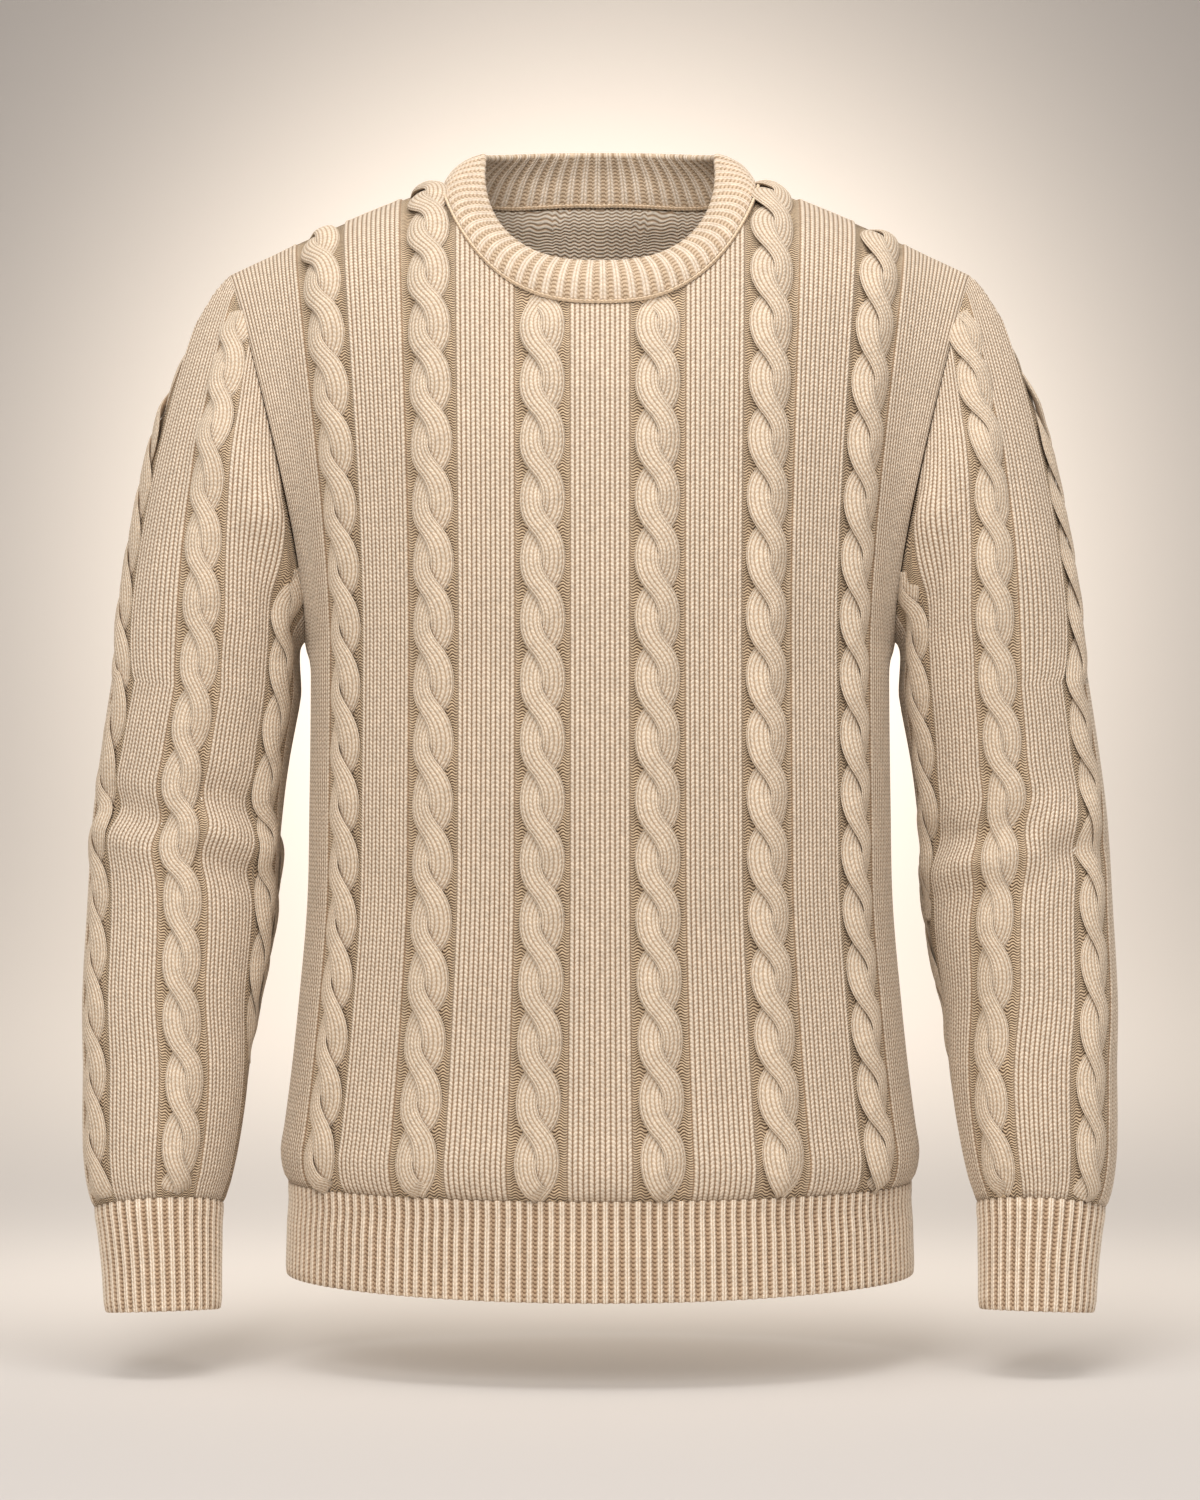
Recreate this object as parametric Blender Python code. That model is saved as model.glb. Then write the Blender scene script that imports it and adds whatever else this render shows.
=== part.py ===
"""A cable knit pullover, crew neck, filled out as it is worn and hollow.

Units are metres, +Z is up and the front faces -Y. The origin lies on the middle line, level with the
points where the collar meets the shoulder seams. The names left and right are the wearer's, so the left
sleeve lies at +X. Every piece is a wall of knitted cloth: a net of points on its outer face, worked out
by the functions below from the tables, and a second net one wall thickness inside it.
"""

import bpy
import numpy as np

# ---------------------------------------------------------------- driving sizes, metres

WALL = 0.003  # single knitted cloth
BAND_WALL = 0.0045  # the collar is doubled
SEAM_GAP = 0.0003

UNDERARM_Z = -0.290
RIB_TOP_Z = -0.628
HEM_Z = -0.6845
HEM_DIP = 0.0030  # the hem hangs this much lower at the middle of the front and back

SHOULDER_Y = 0.012  # the shoulder seam lies just behind the ridge
TIP = (0.2347, SHOULDER_Y, -0.0565)  # where the shoulder seam meets the armhole
SHOULDER_ROUND = 1.15  # power of the shoulder line: 1 is straight, more is rounder

NECK_HALF_WIDTH = 0.099
NECK_FRONT_Z = -0.085
NECK_BACK_Y = 0.076
COLLAR_HALF_WIDTH = 0.0745
COLLAR_FRONT = (-0.086, -0.059)  # y and z of the collar's top edge at the front
COLLAR_BACK = (0.071, 0.028)
COLLAR_SIDE_Z = 0.0195
COLLAR_BULGE = 0.0040
NECK_ROUND = 0.77  # power of the neckline's plan: 1 is an ellipse, less is squarer

NECK_SHARE = 0.396  # share of a panel's half width that the neckline takes

BODY = (  # height, half width, depth of the front, depth of the back
    (-0.290, 0.1815, 0.1315, 0.1225),
    (-0.340, 0.1818, 0.1320, 0.1185),
    (-0.390, 0.1825, 0.1310, 0.1150),
    (-0.452, 0.1838, 0.1290, 0.1150),
    (-0.515, 0.1892, 0.1290, 0.1180),
    (-0.560, 0.1940, 0.1300, 0.1220),
    (-0.592, 0.1982, 0.1320, 0.1260),
    (-0.609, 0.2006, 0.1330, 0.1280),
    (-0.620, 0.1992, 0.1310, 0.1265),
    (-0.628, 0.1963, 0.1275, 0.1235),
    (-0.656, 0.1962, 0.1265, 0.1225),
    (-0.691, 0.1974, 0.1270, 0.1230),
)

# How the cloth leaves the line of the shoulders, which the neckline cuts away at the middle, and how it
# arrives level with the underarm. Share: 0 at the middle of the panel, 1 at the armhole.
FRONT_YOKE = (  # share, leaves x, y, z, arrives x, y, z
    (0.00, 0.000, -0.350, -0.015, 0.000, 0.000, -0.360),
    (0.40, 0.000, -0.340, -0.020, 0.000, 0.000, -0.370),
    (0.62, 0.000, -0.300, -0.030, 0.000, 0.000, -0.340),
    (0.82, -0.008, -0.225, -0.065, -0.005, 0.050, -0.280),
    (1.00, -0.052, -0.180, -0.125, 0.025, 0.220, -0.110),
)
BACK_YOKE = (  # share, leaves x, y, z, arrives x, y, z
    (0.00, 0.000, 0.310, -0.020, 0.000, -0.020, -0.410),
    (0.20, 0.000, 0.300, 0.000, 0.000, -0.020, -0.450),
    (0.40, 0.000, 0.280, 0.020, 0.000, -0.020, -0.470),
    (0.62, 0.000, 0.260, 0.000, 0.000, -0.020, -0.390),
    (0.82, -0.008, 0.220, -0.065, -0.005, -0.070, -0.300),
    (1.00, -0.052, 0.190, -0.135, 0.025, -0.230, -0.110),
)
NAPE_RISE = 0.031  # the back would stand this much higher at its middle if no neckline were cut

ARM = (  # height, x and y of the middle, half width, half depth
    (-0.318, 0.2482, 0.0060, 0.0594, 0.0632),
    (-0.355, 0.2545, 0.0058, 0.0588, 0.0620),
    (-0.400, 0.2600, 0.0030, 0.0590, 0.0600),
    (-0.450, 0.2630, -0.0020, 0.0588, 0.0590),
    (-0.515, 0.2696, -0.0130, 0.0544, 0.0560),
    (-0.556, 0.2706, -0.0210, 0.0520, 0.0530),
    (-0.591, 0.2727, -0.0280, 0.0494, 0.0505),
    (-0.612, 0.2740, -0.0320, 0.0470, 0.0480),
    (-0.628, 0.2743, -0.0350, 0.0438, 0.0450),
    (-0.640, 0.2737, -0.0380, 0.0400, 0.0415),
    (-0.670, 0.2717, -0.0430, 0.0367, 0.0385),
    (-0.703, 0.2700, -0.0490, 0.0354, 0.0368),
)
ARM_TOP_Z = ARM[0][0]
CUFF_TOP_Z = -0.640
CUFF_Z = -0.702

CAP = (  # share of the way round from the shoulder to the underarm, how the sleeve leaves: x, y, z
    (0.00, 0.133, 0.000, -0.130),
    (0.25, 0.120, 0.040, -0.100),
    (0.50, 0.110, 0.060, -0.060),
    (0.75, 0.080, 0.060, -0.020),
    (0.90, 0.050, 0.030, 0.000),
    (1.00, 0.020, 0.000, -0.004),
)
CAP_ARRIVES = 0.16  # how firmly the cap settles into the line of the arm, less under the arm

# The largest folds, as seen from the front or back of a sleeve: face, from x, z, to x, z, width, height.
LEFT_FOLDS = (
    (-1, 0.230, -0.172, 0.205, -0.212, 0.014, 0.0050),
    (-1, 0.205, -0.212, 0.192, -0.245, 0.011, 0.0040),
    (-1, 0.252, -0.404, 0.246, -0.408, 0.011, -0.0045),
    (-1, 0.262, -0.421, 0.228, -0.424, 0.009, 0.0045),
    (-1, 0.212, -0.436, 0.232, -0.426, 0.009, 0.0045),
    (-1, 0.208, -0.412, 0.226, -0.414, 0.009, -0.0045),
    (-1, 0.262, -0.437, 0.222, -0.446, 0.010, -0.0040),
    (-1, 0.282, -0.402, 0.298, -0.400, 0.010, 0.0030),
    (-1, 0.286, -0.421, 0.304, -0.418, 0.009, -0.0040),
    (1, 0.212, -0.408, 0.246, -0.414, 0.010, -0.0040),
    (1, 0.214, -0.430, 0.262, -0.434, 0.011, 0.0040),
    (1, 0.270, -0.418, 0.304, -0.410, 0.010, 0.0030),
)
RIGHT_FOLDS = (
    (-1, 0.232, -0.170, 0.206, -0.210, 0.014, 0.0050),
    (-1, 0.206, -0.210, 0.193, -0.243, 0.011, 0.0040),
    (-1, 0.302, -0.391, 0.276, -0.400, 0.009, -0.0050),
    (-1, 0.238, -0.385, 0.220, -0.392, 0.010, -0.0050),
    (-1, 0.242, -0.405, 0.216, -0.419, 0.009, 0.0050),
    (-1, 0.242, -0.425, 0.220, -0.433, 0.009, -0.0045),
    (-1, 0.304, -0.408, 0.282, -0.414, 0.010, 0.0035),
    (1, 0.214, -0.396, 0.250, -0.404, 0.011, -0.0040),
    (1, 0.214, -0.420, 0.258, -0.426, 0.011, 0.0040),
    (1, 0.272, -0.408, 0.302, -0.402, 0.010, 0.0030),
)


# ---------------------------------------------------------------- curves

def hermite(t, start, leave, end, arrive):
    return (
        ((2 * t - 3) * t * t + 1) * start + ((t - 2) * t + 1) * t * leave
        + (3 - 2 * t) * t * t * end + (t - 1) * t * t * arrive
    )


def smooth(table, column, at):
    """Reads a column of a table along its first column, as a cubic curve through the rows."""
    table = np.asarray(table, float)
    xs, ys = table[:, 0], table[:, column]
    if xs[0] > xs[-1]:
        xs, ys = xs[::-1], ys[::-1]
    slope = np.gradient(ys, xs)
    at = np.clip(at, xs[0], xs[-1])
    i = np.clip(np.searchsorted(xs, at) - 1, 0, len(xs) - 2)
    step = xs[i + 1] - xs[i]
    return hermite((at - xs[i]) / step, ys[i], slope[i] * step, ys[i + 1], slope[i + 1] * step)


def ease(low, high, at):
    t = np.clip((at - low) / (high - low), 0, 1)
    return t * t * (3 - 2 * t)


def unit(vectors):
    return vectors / np.maximum(np.linalg.norm(vectors, axis=-1, keepdims=True), 1e-12)


# ---------------------------------------------------------------- the body

def turn(share):
    """The angle round the body from its middle line, for a share of the way along the cloth to the side."""
    angle = np.linspace(0, np.pi / 2, 361)
    x, y = 0.187 * np.sin(angle), 0.128 * np.cos(angle)
    along = np.concatenate([[0], np.cumsum(np.hypot(np.diff(x), np.diff(y)))])
    return np.interp(np.abs(share), along / along[-1], angle) * np.sign(share)


def body_ring(face, share, z):
    """A point of the front (face -1) or back (face 1) below the underarm; share runs from -1 to 1."""
    angle = turn(share)
    depth = smooth(BODY, 2 if face < 0 else 3, z)
    flare = 0.004 * np.exp(-(((z - UNDERARM_Z) / 0.009) ** 2)) * ease(0.88, 1, np.abs(share))
    x = (smooth(BODY, 1, z) + flare) * np.sin(angle)
    return np.stack([x, face * depth * np.cos(angle), z + 0 * x], -1)


def place_of(share):
    """0 at the middle, 1 where the collar meets the shoulder seam, 2 at the armhole."""
    share = np.abs(share)
    neck = np.clip(share / NECK_SHARE, 0, 1) ** (1 / NECK_ROUND)
    return np.where(
        share < NECK_SHARE, np.arcsin(neck) / (np.pi / 2), 1 + (share - NECK_SHARE) / (1 - NECK_SHARE)
    )


def share_at(place):
    """The inverse of place_of."""
    neck = NECK_SHARE * np.sin(np.clip(place, 0, 1) * np.pi / 2) ** NECK_ROUND
    return np.where(place < 1, neck, NECK_SHARE + (1 - NECK_SHARE) * (place - 1))


def column(face, share, t):
    """A point between the line of the shoulders (t 0) and the underarm level (t 1), with no neckline cut."""
    size = np.abs(share)
    out = np.clip((size - NECK_SHARE) / (1 - NECK_SHARE), 0, 1)
    out = out + 0.18 * out * (1 - out)
    x = NECK_HALF_WIDTH * np.clip(size / NECK_SHARE, 0, 1) + (TIP[0] - NECK_HALF_WIDTH) * out
    z = TIP[2] * out ** SHOULDER_ROUND
    if face > 0:
        z = z + NAPE_RISE * (1 - np.clip(size / NECK_SHARE, 0, 1) ** 2) ** 1.5
    side = np.sign(share)
    top = np.stack([x * side, SHOULDER_Y + 0 * x, z], -1)
    table = FRONT_YOKE if face < 0 else BACK_YOKE
    leave = np.stack([smooth(table, 1, size) * side, smooth(table, 2, size), smooth(table, 3, size)], -1)
    arrive = np.stack([smooth(table, 4, size) * side, smooth(table, 5, size), smooth(table, 6, size)], -1)
    foot = body_ring(face, share, UNDERARM_Z + 0 * share)
    return hermite(t[..., None], top, leave, foot, arrive)


def neckline(face, share):
    """How far down each column the neckline cuts it: the front to a height, the back to a depth."""
    places, fine = np.linspace(0, 1, 121), np.linspace(0, 0.7, 141)
    place, t = np.meshgrid(places, fine, indexing="ij")
    points = column(face, share_at(place), t)
    angle = places * np.pi / 2
    if face < 0:
        found, wanted = -points[..., 2], -NECK_FRONT_Z * np.cos(angle) ** 1.4
    else:
        found = points[..., 1]
        wanted = SHOULDER_Y + (NECK_BACK_Y - SHOULDER_Y) * np.cos(angle) ** NECK_ROUND
    cuts = [np.interp(goal, row, fine) for goal, row in zip(wanted, np.maximum.accumulate(found, axis=1))]
    return np.interp(place_of(share), places, cuts) * (np.abs(share) < NECK_SHARE)


def yoke(face, share, t):
    """A point of a panel between its top edge (t 0) and the underarm level (t 1)."""
    cut = neckline(face, share)
    return column(face, share, cut + (1 - cut) * t)


def top_edge(face, share):
    """The neckline and, beyond it, the shoulder seam."""
    return yoke(face, share, 0 * share)


# ---------------------------------------------------------------- the sleeves

def armhole(face, way):
    """A point of the armhole; way runs from 0 at the shoulder tip to 1 under the arm, along its length."""
    t = np.linspace(0, 1, 241)
    line = yoke(face, np.ones_like(t), t)
    along = np.concatenate([[0], np.cumsum(np.linalg.norm(np.diff(line, axis=0), axis=1))])
    return yoke(face, np.ones_like(way), np.interp(way, along / along[-1], t))


def arm_ring(way, z):
    """A point of the sleeve below its cap. Way runs from 0 outside round the front to 1 at the inner side,
    and from 0 round the back to -1. Each ring lies square to the arm."""
    step = 0.004
    middle = np.stack([smooth(ARM, 1, z), smooth(ARM, 2, z), z + 0 * way], -1)
    ahead = np.stack([smooth(ARM, 1, z - step), smooth(ARM, 2, z - step), z - step + 0 * way], -1)
    back = np.stack([smooth(ARM, 1, z + step), smooth(ARM, 2, z + step), z + step + 0 * way], -1)
    down = unit(ahead - back)
    out = unit(np.array([1.0, 0, 0]) - down[..., :1] * down)
    front = unit(np.array([0, -1.0, 0]) + down[..., 1:2] * down)
    angle = (way * np.pi)[..., None]
    wide, deep = smooth(ARM, 3, z)[..., None], smooth(ARM, 4, z)[..., None]
    return middle + out * wide * np.cos(angle) + front * deep * np.sin(angle), down


def sleeve_cap(way, t):
    """A point of the sleeve between the armhole (t 0) and the top of the straight arm (t 1)."""
    start = np.where(way[..., None] >= 0, armhole(-1, np.abs(way)), armhole(1, np.abs(way)))
    end, down = arm_ring(way, ARM_TOP_Z + 0 * way)
    forward = -np.sign(way)
    leave = np.stack(
        [smooth(CAP, 1, np.abs(way)), forward * smooth(CAP, 2, np.abs(way)), smooth(CAP, 3, np.abs(way))], -1
    )
    arrive = down * (CAP_ARRIVES * (1 - 0.75 * ease(0.6, 1, np.abs(way))))[..., None]
    return hermite(t[..., None], start, leave, end, arrive)


# ---------------------------------------------------------------- the collar

def collar(face, place, up):
    """A point of the collar; place is -1 to 1 across the front or back, up is 0 at its seam and 1 on top."""
    angle = np.abs(place) * np.pi / 2
    seam = top_edge(face, share_at(np.abs(place)) * np.sign(place))
    reach, height = COLLAR_FRONT if face < 0 else COLLAR_BACK
    power = 0.85 if face < 0 else 1.0
    x = COLLAR_HALF_WIDTH * np.sin(angle) ** NECK_ROUND * np.sign(place)
    y = SHOULDER_Y * 0.5 + (reach - SHOULDER_Y * 0.5) * np.cos(angle) ** NECK_ROUND
    z = COLLAR_SIDE_Z + (height - COLLAR_SIDE_Z) * np.cos(angle) ** power
    top = np.stack([x, y, z], -1)
    bulge = COLLAR_BULGE * np.sin(np.pi * up)[..., None]
    outward = unit(np.stack([x, y, 0.06 + 0 * x], -1))
    return seam + (top - seam) * up[..., None] + outward * bulge


# ---------------------------------------------------------------- folds

def folded(net, closed, folds):
    """Moves a net's points out or in along its folds, and leaves its seams where they are."""
    normals = net_normals(net, closed)
    rows = np.arange(len(net))
    at_seam = np.clip(np.minimum(rows, rows[::-1]) / 2, 0, 1)[:, None, None]
    moved = net.copy()
    for face, x1, z1, x2, z2, width, height in folds:
        run = np.array([x2 - x1, z2 - z1])
        offset = net[..., [0, 2]] - np.array([x1, z1])
        t = np.clip(offset @ run / max(run @ run, 1e-12), 0, 1)
        away = np.linalg.norm(offset - t[..., None] * run, axis=-1)
        facing = ease(0.05, 0.6, face * normals[..., 1])
        moved += normals * at_seam * (height * facing * np.exp(-((away / width) ** 2)))[..., None]
    return moved


# ---------------------------------------------------------------- nets

NECK_PLACES = np.array([0, 0.08, 0.2, 0.36, 0.55, 0.77, 1])
SHOULDER_PLACES = np.linspace(1, 2, 7)[1:]
HALF_PLACES = np.concatenate([NECK_PLACES, SHOULDER_PLACES])
YOKE_ROWS = np.array([0, 0.07, 0.16, 0.27, 0.39, 0.52, 0.66, 0.79, 0.91, 1])
BODY_ROWS = np.array([-0.304, -0.325, -0.362, -0.41, -0.465, -0.52, -0.57, -0.60, -0.617, RIB_TOP_Z])
ARM_ROWS = np.array(
    [-0.335, -0.352, -0.368, -0.380, -0.390, -0.400, -0.410, -0.420, -0.430, -0.440, -0.452, -0.470,
     -0.505, -0.545, -0.585, -0.612, -0.628, CUFF_TOP_Z]
)


def both_sides(half):
    return np.concatenate([-half[:0:-1], half])


def panel_net(face):
    """Rows run down and columns run to the left of whoever looks at the panel's outer face."""
    shares = both_sides(share_at(HALF_PLACES)) * -face
    share, t = np.meshgrid(shares, YOKE_ROWS)
    upper = yoke(face, share, t)
    share, z = np.meshgrid(shares, BODY_ROWS)
    return np.concatenate([upper, body_ring(face, share, z)])


def hem_net(face):
    share, down = np.meshgrid(both_sides(share_at(HALF_PLACES)) * -face, np.linspace(0, 1, 4))
    low = HEM_Z - HEM_DIP * np.cos(turn(share)) ** 2
    return body_ring(face, share, RIB_TOP_Z + (low - RIB_TOP_Z) * down)


def ways_round():
    """Where the rows of the front and back panels meet the sleeve: from its outer line, round the back."""
    line = {face: yoke(face, np.ones(241), np.linspace(0, 1, 241)) for face in (-1, 1)}
    ways = {}
    for face in (-1, 1):
        along = np.cumsum(np.linalg.norm(np.diff(line[face], axis=0, prepend=line[face][:1]), axis=1))
        ways[face] = np.interp(YOKE_ROWS, np.linspace(0, 1, 241), along / along[-1])
    return np.concatenate([-ways[1][:-1], ways[-1][:0:-1]])


def sleeve_net(folds):
    way, t = np.meshgrid(ways_round(), np.linspace(0, 1, 9))
    cap = sleeve_cap(way, t)
    way, z = np.meshgrid(ways_round(), ARM_ROWS)
    return folded(np.concatenate([cap, arm_ring(way, z)[0]]), True, folds)


def cuff_net():
    way, z = np.meshgrid(ways_round(), np.linspace(CUFF_TOP_Z, CUFF_Z, 4))
    return arm_ring(way, z)[0]


def collar_net():
    place, up = np.meshgrid(both_sides(NECK_PLACES), np.linspace(1, 0, 5))
    return np.concatenate([collar(-1, place, up), collar(1, -place, up)[:, 1:-1]], axis=1)


def mirrored(net):
    return net[:, ::-1] * np.array([-1.0, 1, 1])


def net_normals(net, closed):
    down = np.gradient(net, axis=0)
    if closed:
        across = (np.roll(net, -1, axis=1) - np.roll(net, 1, axis=1)) / 2
    else:
        across = np.gradient(net, axis=1)
    return unit(np.cross(down, across))


def place_key(point):
    return tuple(np.round(point, 5) + 0.0)


def shared_normals(nets):
    """Pieces that meet at a seam take one direction there, so that their walls lie side by side."""
    sums = {}
    for net, closed, _ in nets.values():
        for point, normal in zip(net.reshape(-1, 3), net_normals(net, closed).reshape(-1, 3)):
            key = place_key(point)
            sums[key] = sums.get(key, 0) + normal
    return {
        name: unit(np.array([sums[place_key(p)] for p in net.reshape(-1, 3)])).reshape(net.shape)
        for name, (net, closed, _) in nets.items()
    }


def drawn_in(net, closed):
    """Draws the edges of a net in by half the gap that a seam leaves."""
    step = SEAM_GAP / 2
    moved = net.copy()
    moved[0] += step * unit(net[1] - net[0])
    moved[-1] += step * unit(net[-2] - net[-1])
    if not closed:
        moved[:, 0] += step * unit(net[:, 1] - net[:, 0])
        moved[:, -1] += step * unit(net[:, -2] - net[:, -1])
    return moved


# ---------------------------------------------------------------- solids

def knit(name, red, green, blue):
    material = bpy.data.materials.new(name)
    material.use_nodes = True
    shader = material.node_tree.nodes["Principled BSDF"]
    shader.inputs["Base Color"].default_value = (red, green, blue, 1)
    shader.inputs["Roughness"].default_value = 0.9
    shader.inputs["Metallic"].default_value = 0
    return material


def rim_triangles(edge, ranks, count):
    """The rim along an edge. Both pieces of a seam split its quads along the same diagonals."""
    for a, b in zip(edge[:-1].tolist(), edge[1:].tolist()):
        if ranks[a] < ranks[b]:
            yield (a, a + count, b + count)
            yield (a, b + count, b)
        else:
            yield (a, a + count, b)
            yield (b, a + count, b + count)


def wall(name, net, closed, normals, thickness, material, collection):
    """A closed wall of cloth between a net and the same net moved in by the thickness."""
    rows, columns = net.shape[:2]
    outer = drawn_in(net, closed)
    inner = outer - normals * thickness
    number = np.arange(rows * columns).reshape(rows, columns)
    if closed:
        number = np.concatenate([number, number[:, :1]], axis=1)
    quads = np.stack([number[:-1, :-1], number[1:, :-1], number[1:, 1:], number[:-1, 1:]], -1).reshape(-1, 4)
    count = rows * columns
    edges = [number[0, ::-1], number[-1]]
    if not closed:
        edges += [number[:, 0], number[::-1, -1]]
    ranks = [place_key(np.abs(point)) for point in net.reshape(-1, 3)]
    rim = [triangle for edge in edges for triangle in rim_triangles(edge, ranks, count)]
    faces = quads.tolist() + (quads[:, ::-1] + count).tolist() + rim
    mesh = bpy.data.meshes.new(name)
    mesh.from_pydata(np.concatenate([outer.reshape(-1, 3), inner.reshape(-1, 3)]).tolist(), [], faces)
    mesh.materials.append(material)
    mesh.shade_smooth()
    mesh.set_sharp_from_angle(angle=np.radians(50))
    collection.objects.link(bpy.data.objects.new(name, mesh))


def main():
    for old in list(bpy.data.objects):
        bpy.data.objects.remove(old, do_unlink=True)
    garment = bpy.data.collections.new("cable_knit_sweater")
    bpy.context.scene.collection.children.link(garment)

    collar_walls = np.array([BAND_WALL] * 4 + [WALL])[:, None, None]  # single where it is linked on
    nets = {  # piece: its net, whether it closes on itself, its thickness
        "front_panel": (panel_net(-1), False, WALL),
        "back_panel": (panel_net(1), False, WALL),
        "sleeve_left": (sleeve_net(LEFT_FOLDS), True, WALL),
        "sleeve_right": (mirrored(sleeve_net(RIGHT_FOLDS)), True, WALL),
        "neckband": (collar_net(), True, collar_walls),
        "hem_rib_front": (hem_net(-1), False, WALL),
        "hem_rib_back": (hem_net(1), False, WALL),
        "cuff_left": (cuff_net(), True, WALL),
        "cuff_right": (mirrored(cuff_net()), True, WALL),
    }
    normals = shared_normals(nets)
    for name, (net, closed, thickness) in nets.items():
        material = knit(name + "_knit", 0.68, 0.53, 0.38)
        wall(name, net, closed, normals[name], thickness, material, garment)


if __name__ == "__main__":
    main()
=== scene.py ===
"""Looks for a cable knit pullover, crew neck, filled out as it is worn and hollow.

Every knitted piece is a closed shell of cloth on the form of its solid: a fine outer skin that carries the
bands of stocking stitch and the channels the cables lie in, and a coarser inner skin. The cables are pairs
of strands twisted round each other, as long as the cloth they lie on. Units are metres. The names left and
right are the wearer's, so the left sleeve lies at +X.
"""

import math

import bpy
import numpy as np
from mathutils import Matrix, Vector


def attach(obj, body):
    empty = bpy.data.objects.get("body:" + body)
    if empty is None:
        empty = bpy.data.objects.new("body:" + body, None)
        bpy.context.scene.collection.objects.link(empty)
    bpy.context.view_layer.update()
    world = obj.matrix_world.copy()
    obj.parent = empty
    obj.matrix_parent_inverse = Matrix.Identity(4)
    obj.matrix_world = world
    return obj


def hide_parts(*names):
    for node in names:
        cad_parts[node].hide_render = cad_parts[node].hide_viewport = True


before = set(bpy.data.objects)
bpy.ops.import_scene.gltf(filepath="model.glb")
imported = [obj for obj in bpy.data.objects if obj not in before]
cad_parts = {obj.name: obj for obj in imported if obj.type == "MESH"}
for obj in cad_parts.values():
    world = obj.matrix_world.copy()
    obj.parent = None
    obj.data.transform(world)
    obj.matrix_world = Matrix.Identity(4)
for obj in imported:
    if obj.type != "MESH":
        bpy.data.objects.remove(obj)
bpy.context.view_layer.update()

# ---------------------------------------------------------------- sizes of the pieces, as the solids have them

WALL = 0.003
BAND_WALL = 0.0045

UNDERARM_Z = -0.290
RIB_TOP_Z = -0.628
HEM_Z = -0.6845
HEM_DIP = 0.0030
SHOULDER_Y = 0.012
TIP = (0.2347, SHOULDER_Y, -0.0565)
SHOULDER_ROUND = 1.15
NECK_HALF_WIDTH = 0.099
NECK_FRONT_Z = -0.085
NECK_BACK_Y = 0.076
COLLAR_HALF_WIDTH = 0.0745
COLLAR_FRONT = (-0.086, -0.059)
COLLAR_BACK = (0.071, 0.028)
COLLAR_SIDE_Z = 0.0195
COLLAR_BULGE = 0.0040
NECK_ROUND = 0.77
NECK_SHARE = 0.396
NAPE_RISE = 0.031
CUFF_TOP_Z = -0.640
CUFF_Z = -0.702

BODY = (  # height, half width, depth of the front, depth of the back
    (-0.290, 0.1815, 0.1315, 0.1225),
    (-0.340, 0.1818, 0.1320, 0.1185),
    (-0.390, 0.1825, 0.1310, 0.1150),
    (-0.452, 0.1838, 0.1290, 0.1150),
    (-0.515, 0.1892, 0.1290, 0.1180),
    (-0.560, 0.1940, 0.1300, 0.1220),
    (-0.592, 0.1982, 0.1320, 0.1260),
    (-0.609, 0.2006, 0.1330, 0.1280),
    (-0.620, 0.1992, 0.1310, 0.1265),
    (-0.628, 0.1963, 0.1275, 0.1235),
    (-0.656, 0.1962, 0.1265, 0.1225),
    (-0.691, 0.1974, 0.1270, 0.1230),
)
FRONT_YOKE = (  # share, leaves x, y, z, arrives x, y, z
    (0.00, 0.000, -0.350, -0.015, 0.000, 0.000, -0.360),
    (0.40, 0.000, -0.340, -0.020, 0.000, 0.000, -0.370),
    (0.62, 0.000, -0.300, -0.030, 0.000, 0.000, -0.340),
    (0.82, -0.008, -0.225, -0.065, -0.005, 0.050, -0.280),
    (1.00, -0.052, -0.180, -0.125, 0.025, 0.220, -0.110),
)
BACK_YOKE = (  # share, leaves x, y, z, arrives x, y, z
    (0.00, 0.000, 0.310, -0.020, 0.000, -0.020, -0.410),
    (0.20, 0.000, 0.300, 0.000, 0.000, -0.020, -0.450),
    (0.40, 0.000, 0.280, 0.020, 0.000, -0.020, -0.470),
    (0.62, 0.000, 0.260, 0.000, 0.000, -0.020, -0.390),
    (0.82, -0.008, 0.220, -0.065, -0.005, -0.070, -0.300),
    (1.00, -0.052, 0.190, -0.135, 0.025, -0.230, -0.110),
)
ARM = (  # height, x and y of the middle, half width, half depth
    (-0.318, 0.2482, 0.0060, 0.0594, 0.0632),
    (-0.355, 0.2545, 0.0058, 0.0588, 0.0620),
    (-0.400, 0.2600, 0.0030, 0.0590, 0.0600),
    (-0.450, 0.2630, -0.0020, 0.0588, 0.0590),
    (-0.515, 0.2696, -0.0130, 0.0544, 0.0560),
    (-0.556, 0.2706, -0.0210, 0.0520, 0.0530),
    (-0.591, 0.2727, -0.0280, 0.0494, 0.0505),
    (-0.612, 0.2740, -0.0320, 0.0470, 0.0480),
    (-0.628, 0.2743, -0.0350, 0.0438, 0.0450),
    (-0.640, 0.2737, -0.0380, 0.0400, 0.0415),
    (-0.670, 0.2717, -0.0430, 0.0367, 0.0385),
    (-0.703, 0.2700, -0.0490, 0.0354, 0.0368),
)
ARM_TOP_Z = ARM[0][0]
CAP = (  # share of the way round from the shoulder to the underarm, how the sleeve leaves: x, y, z
    (0.00, 0.133, 0.000, -0.130),
    (0.25, 0.120, 0.040, -0.100),
    (0.50, 0.110, 0.060, -0.060),
    (0.75, 0.080, 0.060, -0.020),
    (0.90, 0.050, 0.030, 0.000),
    (1.00, 0.020, 0.000, -0.004),
)
CAP_ARRIVES = 0.16

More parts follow.
